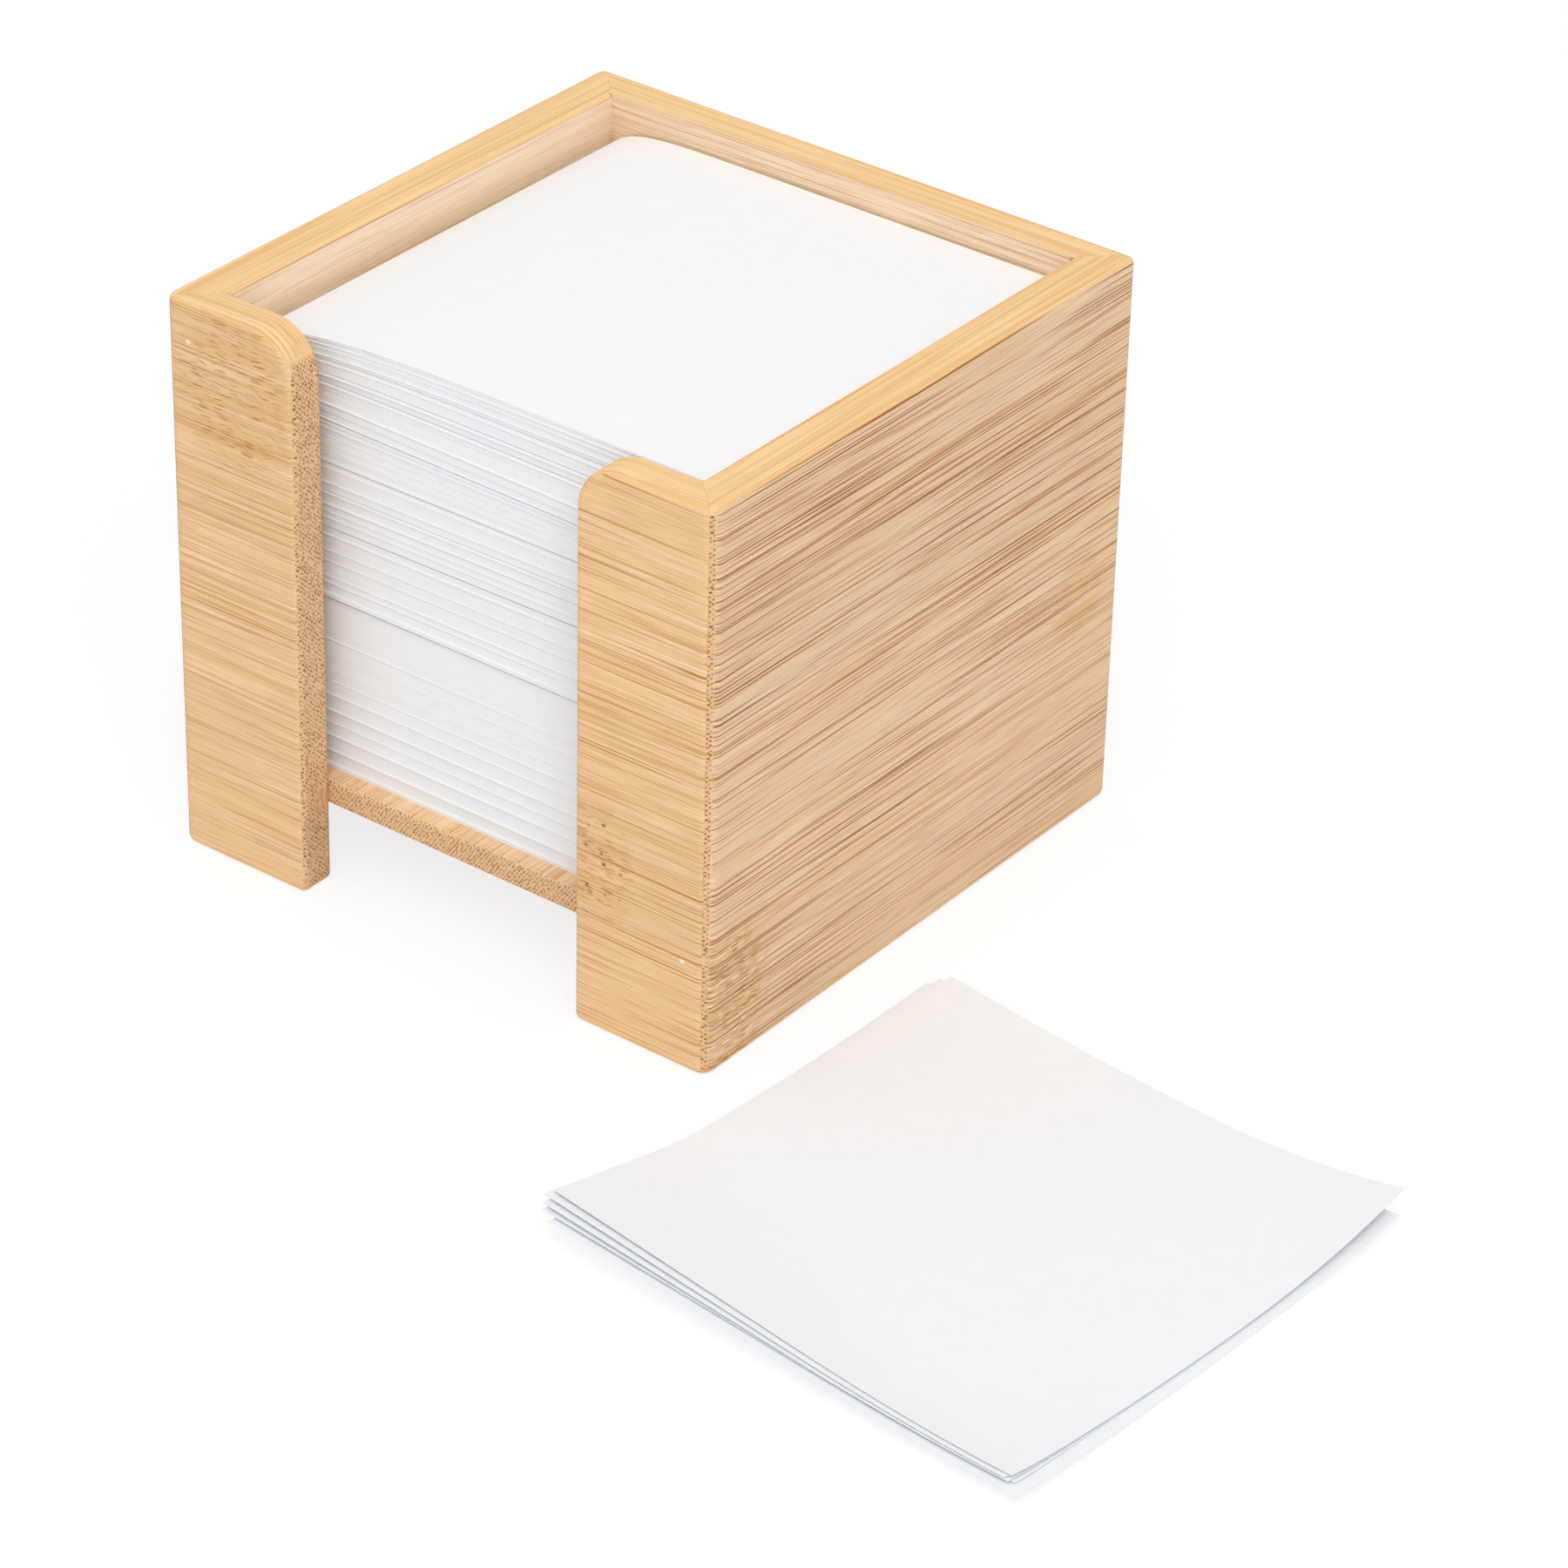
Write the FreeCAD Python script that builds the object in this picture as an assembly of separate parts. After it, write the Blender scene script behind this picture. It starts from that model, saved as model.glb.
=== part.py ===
"""Bamboo memo cube holder filled with loose note sheets, with five used sheets beside it.

Millimetres, +Z up. The origin is the centre of the holder's underside, on the desk.
The finger gap faces -Y. Each piece is written to parts/NODE.step.
"""
import FreeCAD
import Part
import math
import os

V = FreeCAD.Vector

# ---- driving dimensions: holder -------------------------------------------------------
holder_width = 103.0        # outside, along X
holder_depth = 103.0        # outside, along Y
holder_height = 95.0
board_thickness = 7.5       # side boards and back board
post_thickness = 6.6        # the two front posts are of thinner stock
finger_gap_width = 53.0     # between the two front posts
post_corner_radius = 8.0    # top inner corner of each front post
outer_corner_round = 2.2    # the four upright outer corners
edge_round = 1.2            # softened arrises of the boards

base_height = 13.4          # desk to the underside of the base board
base_thickness = 4.3
base_edge_round = 0.6       # front arrises of the base board
groove_depth = 4.0          # groove round the well that carries the base board
base_groove_play = 0.5      # base board to the bottom of the side and back grooves
base_front_reach = 0.3      # how far the base board enters the front posts' grooves
filler_length = 5.0         # filler pressed into each open groove end

# ---- driving dimensions: paper --------------------------------------------------------
well_play_width = 3.0       # the well's width over that of the sheets it is for
well_play_depth = 3.9       # the well's depth over that of the sheets
sheet_thickness = 0.1       # one sheet of 80 g/m2 paper
paper_side_clearance = 0.6  # paper to the right and back boards that it is pushed against
block_forward = 0.4         # lowest block, further to the front than the sheets on it

paper_below_rim = 4.9       # top of the stack, at its middle, to the rim of the holder
lower_pack_thickness = 11.5
middle_pack_thickness = 11.0
upper_pack_thickness = 8.3
top_pack_thickness = 11.5   # at the middle: its sheets lie looser to the right and front
top_tilt_right = 1.8        # degrees that the top of the stack rises towards +X
top_tilt_front = 1.0        # degrees that it rises towards -Y

# ---- driving dimensions: loose sheets beside the holder -------------------------------
loose_from_side = 7.6       # right side to the pile, as if it lay square to the holder
loose_from_front = 3.3      # middle of the pile, forward of the holder's front
loose_yaw = -4.2            # degrees, of the middle of the pile
loose_pitch = 0.3           # height of each sheet over the one beneath, where they are flat
loose_spread_x = 0.5        # how far the sheets were pushed apart
loose_spread_y = 1.4
loose_twist = 1.0           # degrees that the sheets are fanned each way
left_curl_run = 34.0        # length of the curl at the left corner, along the diagonal
right_curl_run = 46.0
lowest_left_lift = 2.0      # how far the corners of the lowest sheet are off the desk
lowest_right_lift = 0.8
left_lift_step = 0.6        # each sheet over it curls this much more
right_lift_step = 0.7
loose_sheet_count = 5

# ---- worked out -----------------------------------------------------------------------
half_width = holder_width / 2
half_depth = holder_depth / 2
well_half_x = half_width - board_thickness
well_back = half_depth - board_thickness
well_front = -half_depth + post_thickness
gap_half = finger_gap_width / 2
base_top = base_height + base_thickness
groove_half_x = well_half_x + groove_depth
groove_back = well_back + groove_depth
groove_front = well_front - groove_depth
sheet_width = 2 * well_half_x - well_play_width
sheet_depth = well_back - well_front - well_play_depth
paper_right = well_half_x - paper_side_clearance
paper_back = well_back - paper_side_clearance
paper_left = paper_right - sheet_width
paper_front = paper_back - sheet_depth
paper_centre_x = (paper_left + paper_right) / 2
paper_centre_y = (paper_front + paper_back) / 2
# the pressed block at the bottom of the well is what the packs over it leave
block_thickness = (holder_height - paper_below_rim - base_top - lower_pack_thickness
                   - middle_pack_thickness - upper_pack_thickness - top_pack_thickness)
loose_centre_x = half_width + loose_from_side + sheet_width / 2
loose_centre_y = -half_depth - loose_from_front
past = 1.0                  # how far a cutting shape runs past what it cuts


def box(x0, x1, y0, y1, z0, z1):
    """A box from its six limits."""
    return Part.makeBox(x1 - x0, y1 - y0, z1 - z0, V(x0, y0, z0))


def prism(corners, z0, z1):
    """A straight prism over plan corners given as (x, y)."""
    points = [V(x, y, z0) for x, y in corners]
    face = Part.Face(Part.makePolygon(points + points[:1]))
    return face.extrude(V(0, 0, z1 - z0))


def one_solid(shape):
    """The single solid of a cut or common result."""
    if len(shape.Solids) != 1:
        raise ValueError("expected one solid, got %d" % len(shape.Solids))
    return shape.Solids[0]


def is_upright_at(edge, x, places):
    """Does the edge run along Z at |x| and one of the places along Y?"""
    return any(
        all(abs(abs(v.Point.x) - x) < 1e-6 and abs(v.Point.y - y) < 1e-6 for v in edge.Vertexes)
        for y in places
    )


def frame_blank():
    """The four walls as one ring with the finger gap, every arris softened."""
    ring = box(-half_width, half_width, -half_depth, half_depth, 0, holder_height)
    ring = ring.cut(box(-well_half_x, well_half_x, well_front, well_back, 0, holder_height))
    ring = ring.cut(box(-gap_half, gap_half, -half_depth, well_front, 0, holder_height))
    ring = one_solid(ring)
    post_corners = [
        e for e in ring.Edges
        if all(abs(abs(v.Point.x) - gap_half) < 1e-6 and abs(v.Point.z - holder_height) < 1e-6
               for v in e.Vertexes)
        and len({round(v.Point.x, 3) for v in e.Vertexes}) == 1
    ]
    ring = ring.makeFillet(post_corner_radius, post_corners)
    upright = [e for e in ring.Edges if is_upright_at(e, half_width, (-half_depth, half_depth))]
    ring = ring.makeFillet(outer_corner_round, upright)
    arrises = [e for e in ring.Edges if not is_upright_at(e, well_half_x, (well_front, well_back))
               and not is_smooth(ring, e)]
    return one_solid(ring.makeFillet(edge_round, arrises))


def is_smooth(solid, edge):
    """Do the two faces at the edge run into each other without a corner?"""
    faces = solid.ancestorsOfType(edge, Part.Face)
    middle = edge.valueAt((edge.FirstParameter + edge.LastParameter) / 2)
    normals = []
    for face in faces:
        u, v = face.Surface.parameter(middle)
        normals.append(face.normalAt(u, v))
    return len(normals) == 2 and normals[0].dot(normals[1]) > 0.9999


def mitred_plan(side):
    """The plan of one wall, between mitres that run out at 45 degrees from the inner corners."""
    reach = 2 * board_thickness

    def mitre(x, y, inner_y):
        inner_x = x * well_half_x
        return (inner_x, inner_y), (inner_x + x * reach, inner_y + y * reach)

    front_left, front_left_out = mitre(-1, -1, well_front)
    front_right, front_right_out = mitre(1, -1, well_front)
    back_left, back_left_out = mitre(-1, 1, well_back)
    back_right, back_right_out = mitre(1, 1, well_back)
    corners = {
        "left": [back_left, front_left, front_left_out, back_left_out],
        "right": [front_right, back_right, back_right_out, front_right_out],
        "back": [back_right, back_left, back_left_out, back_right_out],
        "front": [front_left, front_right, front_right_out, front_left_out],
    }[side]
    return prism(corners, -past, holder_height + past)


def groove_space():
    """The groove that runs round the inside of all four walls."""
    return box(-groove_half_x, groove_half_x, groove_front, groove_back, base_height, base_top)


def walls():
    """Two sides, the back and the two front posts, mitred at the corners and grooved."""
    grooved = frame_blank().cut(groove_space())
    made = {
        "left_side": one_solid(grooved.common(mitred_plan("left"))),
        "right_side": one_solid(grooved.common(mitred_plan("right"))),
        "back_board": one_solid(grooved.common(mitred_plan("back"))),
    }
    posts = grooved.common(mitred_plan("front")).Solids
    posts.sort(key=lambda s: s.CenterOfMass.x)
    made["front_left_post"], made["front_right_post"] = posts
    return made


def base_board():
    """The raised floor of the well, held in the grooves."""
    in_groove = groove_depth - base_groove_play
    board = box(-well_half_x - in_groove, well_half_x + in_groove,
                well_front - base_front_reach, well_back + in_groove,
                base_height, base_top)
    front = [e for e in board.Edges
             if all(abs(v.Point.y - well_front + base_front_reach) < 1e-6 for v in e.Vertexes)
             and abs(e.Vertexes[0].Point.z - e.Vertexes[1].Point.z) < 1e-6]
    return one_solid(board.makeFillet(base_edge_round, front))


def groove_fillers():
    """Filler in the two groove ends that show in the finger gap, flush with the posts."""
    blank = frame_blank()
    made = {}
    for name, sign in (("groove_filler_left", -1), ("groove_filler_right", 1)):
        inner, outer = sorted((sign * gap_half, sign * (gap_half + filler_length)))
        space = box(inner, outer, groove_front, well_front - base_front_reach,
                    base_height, base_top)
        made[name] = one_solid(blank.common(space))
    return made


def paper_prism(z0, z1, forward=0.0):
    """A stack of sheets in the well, from z0 to z1."""
    return box(paper_left, paper_right, paper_front - forward, paper_back - forward, z0, z1)


def slab_under_top(z_low, z_top):
    """The paper between the level z_low and the tilted top that is at z_top over the middle."""
    tall = paper_prism(z_low, holder_height)
    reach = sheet_width + sheet_depth
    above = box(-reach, reach, -reach, reach, 0, reach)
    above.rotate(V(0, 0, 0), V(0, 1, 0), -top_tilt_right)
    above.rotate(V(0, 0, 0), V(1, 0, 0), -top_tilt_front)
    above.translate(V(paper_centre_x, paper_centre_y, z_top))
    return one_solid(tall.cut(above))


def paper_in_well():
    """The pressed block, the packs of sheets over it and the sheet that lies on top."""
    made = {}
    z = base_top
    made["paper_block"] = paper_prism(z, z + block_thickness, block_forward)
    z += block_thickness
    for name, thickness in (("sheet_pack_1", lower_pack_thickness),
                            ("sheet_pack_2", middle_pack_thickness),
                            ("sheet_pack_3", upper_pack_thickness)):
        made[name] = paper_prism(z, z + thickness)
        z += thickness
    stack_top = z + top_pack_thickness
    made["sheet_pack_4"] = slab_under_top(z, stack_top)
    top_pair = slab_under_top(z, stack_top + sheet_thickness)
    made["top_sheet"] = one_solid(top_pair.cut(made["sheet_pack_4"]))
    return made


def curl_radius(run, lift):
    """Radius of the arc that rises by lift over a level run, starting level."""
    return (run * run + lift * lift) / (2 * lift)


def curl_arc(start_x, z, run, radius, direction):
    """An arc that starts level at (start_x, z) and curls up along direction for the run."""
    angle = math.asin(run / radius)

    def point(a):
        return V(start_x + direction * radius * math.sin(a), 0, z + radius * (1 - math.cos(a)))

    return Part.Arc(point(0), point(angle / 2), point(angle)).toShape()


def curled_strip(z, left_lift, right_lift):
    """A wide strip of paper, flat in the middle and curled up at both ends, along X."""
    diagonal_half = (sheet_width + sheet_depth) / math.sqrt(8) + loose_spread_x + loose_spread_y
    flat_left = -(diagonal_half - left_curl_run)
    flat_right = diagonal_half - right_curl_run
    left_radius = curl_radius(left_curl_run, left_lift)
    right_radius = curl_radius(right_curl_run, right_lift)
    ends = []
    rims = []
    for up in (0.0, sheet_thickness):
        # the two faces are concentric, so the run shortens with the radius
        left = curl_arc(flat_left, z + up, left_curl_run * (left_radius - up) / left_radius,
                        left_radius - up, -1)
        right = curl_arc(flat_right, z + up, right_curl_run * (right_radius - up) / right_radius,
                         right_radius - up, 1)
        flat = Part.makeLine(V(flat_left, 0, z + up), V(flat_right, 0, z + up))
        rims += [left, flat, right]
        ends.append((left.Vertexes[-1].Point, right.Vertexes[-1].Point))
    rims.append(Part.makeLine(ends[0][0], ends[1][0]))
    rims.append(Part.makeLine(ends[0][1], ends[1][1]))
    outline = Part.Wire(Part.__sortEdges__(rims))
    strip_half = sheet_width + sheet_depth
    strip = Part.Face(outline).extrude(V(0, 2 * strip_half, 0))
    strip.translate(V(0, -strip_half, 0))
    return strip


def loose_sheet(index):
    """One sheet of the pile beside the holder; its left and right corners curl up."""
    up_the_pile = index - (loose_sheet_count - 1) / 2
    share = up_the_pile / ((loose_sheet_count - 1) / 2)
    strip = curled_strip(index * loose_pitch, lowest_left_lift + index * left_lift_step,
                         lowest_right_lift + index * right_lift_step)
    # the curl runs from corner to corner, so the strip lies along the pile's diagonal
    strip.rotate(V(0, 0, 0), V(0, 0, 1), loose_yaw + 45.0)
    x, y = sheet_width / 2, sheet_depth / 2
    outline = prism([(-x, -y), (x, -y), (x, y), (-x, y)], -past, holder_height)
    outline.rotate(V(0, 0, 0), V(0, 0, 1), loose_yaw - share * loose_twist)
    outline.translate(V(-share * loose_spread_x, share * loose_spread_y, 0))
    sheet = one_solid(strip.common(outline))
    sheet.translate(V(loose_centre_x, loose_centre_y, 0))
    return sheet


def loose_sheets():
    """The pile of used sheets, the lowest first."""
    return {"loose_sheet_%d" % (i + 1): loose_sheet(i) for i in range(loose_sheet_count)}


def main():
    os.makedirs("parts", exist_ok=True)
    nodes = {"base_board": base_board()}
    for group in (walls(), groove_fillers(), paper_in_well(), loose_sheets()):
        nodes.update(group)
    for name, shape in nodes.items():
        if not shape.isValid():
            raise ValueError(name + " isn't a valid solid")
        shape.exportStep("parts/%s.step" % name)
        b = shape.BoundBox
        print("%-20s %10.1f mm3  x %.2f %.2f  y %.2f %.2f  z %.2f %.2f"
              % (name, shape.Volume, b.XMin, b.XMax, b.YMin, b.YMax, b.ZMin, b.ZMax))


main()
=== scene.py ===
"""Bamboo memo cube holder with its note paper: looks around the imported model.

Metres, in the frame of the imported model: +Z up, the finger gap faces -Y, and the origin is the
centre of the holder's underside. Pattern sizes and small shapes are written in millimetres.
"""

import math
import random

import bmesh
import bpy
from bpy.props import FloatProperty, FloatVectorProperty, IntProperty, PointerProperty
from mathutils import Matrix, Vector


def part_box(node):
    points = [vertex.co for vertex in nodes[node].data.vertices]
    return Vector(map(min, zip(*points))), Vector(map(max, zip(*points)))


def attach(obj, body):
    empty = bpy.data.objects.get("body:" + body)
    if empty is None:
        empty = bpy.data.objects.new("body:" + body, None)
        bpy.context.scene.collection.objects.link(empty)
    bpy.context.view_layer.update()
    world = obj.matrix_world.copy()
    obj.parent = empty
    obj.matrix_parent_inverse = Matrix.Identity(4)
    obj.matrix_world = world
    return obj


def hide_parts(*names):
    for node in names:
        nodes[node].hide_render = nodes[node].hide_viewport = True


bl_info = {
    "name": "Memo Cube Holder",
    "version": (1, 0, 0),
    "blender": (4, 5, 0),
    "location": "3D View > Sidebar > Memo Holder",
    "description": "Bamboo, note paper and studio for a memo cube holder",
    "category": "Object",
}

MM = 0.001
CREASE = math.radians(40)       # edges that bend by more than this stay sharp
WELL_HALF = 44.0                # from the middle to the walls of the well, in millimetres

# axes of a board: along the grain, across the strips and through its thickness
FRONT_OR_BACK, SIDE, LEVEL = (0, 2, 1), (1, 2, 0), (1, 0, 2)

# where the lamps aim, and the camera's place, both in metres; its angles are in degrees
LAMP_AIM = Vector((0.03, 0.0, 0.04))
CAMERA_PLACE = (0.479635, -0.607496, 0.487854)
CAMERA_AZIMUTH, CAMERA_ELEVATION, CAMERA_ROLL = 36.748, 31.889, 1.483
CAMERA_LENS = 133.933

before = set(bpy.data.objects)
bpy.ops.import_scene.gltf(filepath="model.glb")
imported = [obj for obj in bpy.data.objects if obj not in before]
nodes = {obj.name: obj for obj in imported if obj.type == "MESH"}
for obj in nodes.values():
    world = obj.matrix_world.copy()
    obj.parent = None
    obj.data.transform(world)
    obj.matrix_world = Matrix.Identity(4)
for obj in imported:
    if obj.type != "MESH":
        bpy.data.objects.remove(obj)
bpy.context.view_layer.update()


def srgb(code):
    """Linear RGBA of an sRGB hex colour."""
    channels = [int(code[i:i + 2], 16) / 255 for i in (1, 3, 5)]
    return [c / 12.92 if c <= 0.04045 else ((c + 0.055) / 1.055) ** 2.4 for c in channels] + [1.0]


def colour(name, description, code):
    """A colour property that starts at an sRGB hex colour."""
    return FloatVectorProperty(name=name, description=description, default=srgb(code),
                               size=4, subtype="COLOR", min=0.0, max=1.0)


def length(name, description, millimetres):
    """A length property, given in millimetres and kept in metres."""
    return FloatProperty(name=name, description=description, default=millimetres * MM,
                         min=0.0, unit="LENGTH", precision=5)


def box_mm(node):
    """Lowest and highest corner of a CAD node, in millimetres."""
    low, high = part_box(node)
    return low / MM, high / MM


# ---- sizes and colours ------------------------------------------------------------------
class MEMO_PG_bamboo(bpy.types.PropertyGroup):
    """Colours and fibre sizes of the laminated bamboo."""

    face: colour("Face", "Sanded face of the boards between the fibres", "#f8ce9c")
    face_pale: colour("Pale face", "Face of the paler boards", "#efd0aa")
    # painted light: a paler face for the walls inside the well, in place of the light that the
    # white paper bounces onto them
    face_painted_bounce: colour("Raw face", "Uncoated faces inside the well", "#ffe8cb")
    face_deep: colour("Deeper face", "Bands where the face is more orange", "#e8b67c")
    fibre: colour("Fibre", "Fibre bundles that run along the paler boards", "#a65d1c")
    fibre_warm: colour("Warm fibre", "Fibre bundles of the more orange boards", "#bb7226")
    pale: colour("Pale fibre", "Pale fibres between the dark ones", "#ffe3bd")
    rim: colour("Rim", "Edges of the strips on the rim", "#f8d098")
    rim_deep: colour("Deeper rim", "Orange streaks along the rim", "#e5a65b")
    end: colour("End grain", "Cut ends between the fibre bundles", "#ebc294")
    end_dot: colour("End grain dot", "Fibre bundles seen end on", "#a45e1f")
    glue: colour("Dried glue", "Drops of dried glue on the posts", "#f6f0e6")
    strip_width: length("Strip width", "Width of one laminated strip", 19.5)
    dot_pitch: length("Dot pitch", "Distance between fibre bundles in the end grain", 0.67)
    gloss: FloatProperty(name="Roughness", description="Roughness of the satin coat",
                         default=0.5, min=0.0, max=1.0, subtype="FACTOR")


class MEMO_PG_paper(bpy.types.PropertyGroup):
    """Size and colour of the note sheets."""

    white: colour("White", "Uncoated writing paper", "#fafafa")
    # painted light: the cut edges get a cooler white than the top sheet, painted against the warm
    # light the bamboo bounces onto them
    edge_white_against_bounce: colour("Edge white", "The cut edges of the stack", "#f7f9fb")
    # painted light: the loose sheets get a darker, cooler white than the top sheet, painted shade
    # and painted against the warm light the bamboo bounces onto them
    loose_white_against_bounce: colour("Loose white", "The loose sheets", "#f5f7fa")
    sheet_side: length("Sheet side", "Side of one square sheet", 85.0)
    sheet_thickness: length("Sheet thickness", "One sheet of 80 g/m2 paper", 0.1)
    scatter: length("Scatter", "How unevenly the sheets of the stack lie", 0.035)
    loose_count: IntProperty(name="Loose sheets", description="Sheets in the loose pile",
                             default=5, min=1, max=5)


class MEMO_PG_studio(bpy.types.PropertyGroup):
    """Floor and light."""

    floor: colour("Floor", "Pale floor under the holder", "#f4f4f4")
    sky_strength: FloatProperty(name="Sky", description="Even light from all round",
                                default=0.6, min=0.0)
    key_power: FloatProperty(name="Key lamp", description="Power of the large soft lamp",
                             default=16.0, min=0.0, subtype="POWER")
    top_power: FloatProperty(name="Top lamp", description="Power of the soft lamp overhead",
                             default=6.5, min=0.0, subtype="POWER")


# ---- materials --------------------------------------------------------------------------
def add_node(tree, kind, inputs=(), **settings):
    """Adds a shader node; inputs are values or sockets, settings are its properties.

    A Mix of colours takes its factor and its two colours at 0, 6 and 7, and gives them at 2.
    """
    made = tree.nodes.new("ShaderNode" + kind)
    for key, value in settings.items():
        setattr(made, key, value)
    for key, value in dict(inputs).items():
        if isinstance(value, bpy.types.NodeSocket):
            tree.links.new(value, made.inputs[key])
        else:
            made.inputs[key].default_value = value
    return made


def new_material(name):
    """An empty material and its node tree."""
    made = bpy.data.materials.new(name)
    made.use_nodes = True
    made.node_tree.nodes.clear()
    return made, made.node_tree


def marks(tree, place, run, pitch, radius, share, thin_out=None, scatter=1.0, turn=0.0,
          vary=0.9):
    """Mask of spindle-shaped marks, one to a cell of run by pitch millimetres.

    radius is the size of a mark in its cell, and share how many cells have one. thin_out is a
    noise that gathers the marks in some places and thins them out in others. scatter is how far
    the marks leave their rows, turn the angle of the rows and vary how much their sizes differ.
    """
    cells = add_node(tree, "Mapping", {
        "Vector": place, "Scale": (1 / run, 1 / pitch, 1.0), "Rotation": (0.0, 0.0, turn)})
    cell = add_node(tree, "TexVoronoi", {
        "Vector": cells.outputs[0], "Scale": 1.0, "Randomness": scatter},
        voronoi_dimensions="2D").outputs
    chance, size, depth = add_node(tree, "SeparateColor", {0: cell["Color"]}).outputs
    if thin_out is not None:
        chance = add_node(tree, "Math", {0: thin_out, 1: 0.8, 2: chance},
                          operation="MULTIPLY_ADD").outputs[0]
        chance = add_node(tree, "Math", {0: chance, 1: 0.4}, operation="SUBTRACT").outputs[0]
    shown = add_node(tree, "MapRange", {
        "Value": chance, "From Min": 0.96 - share, "From Max": 1.04 - share}).outputs[0]
    size = add_node(tree, "Math", {0: size, 1: vary, 2: 1.0 - 0.5 * vary},
                    operation="MULTIPLY_ADD").outputs[0]
    edge = add_node(tree, "Math", {0: cell["Distance"], 1: size}, operation="DIVIDE").outputs[0]
    shape = add_node(tree, "MapRange", {
        "Value": edge, "From Min": radius, "From Max": radius * 0.6},
        interpolation_type="SMOOTHSTEP").outputs[0]
    depth = add_node(tree, "Math", {0: depth, 1: 0.6, 2: 0.4},
                     operation="MULTIPLY_ADD").outputs[0]
    shape = add_node(tree, "Math", {0: shape, 1: shown}, operation="MULTIPLY").outputs[0]
    return add_node(tree, "Math", {0: shape, 1: depth}, operation="MULTIPLY").outputs[0]


def patch(tree, along, across, spot):
    """Mask of a soft-edged patch at spot, which is (along, across, half length, half width)."""
    reach = None
    for source, centre, half in ((along, spot[0], spot[2]), (across, spot[1], spot[3])):
        off = add_node(tree, "Math", {0: source, 1: centre}, operation="SUBTRACT").outputs[0]
        off = add_node(tree, "Math", {0: off, 1: half}, operation="DIVIDE").outputs[0]
        off = add_node(tree, "Math", {0: off, 1: 2.0}, operation="POWER").outputs[0]
        reach = off if reach is None else add_node(
            tree, "Math", {0: reach, 1: off}, operation="ADD").outputs[0]
    return add_node(tree, "MapRange", {"Value": reach, "From Min": 1.25, "From Max": 0.35},
                    interpolation_type="SMOOTHSTEP").outputs[0]


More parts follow.
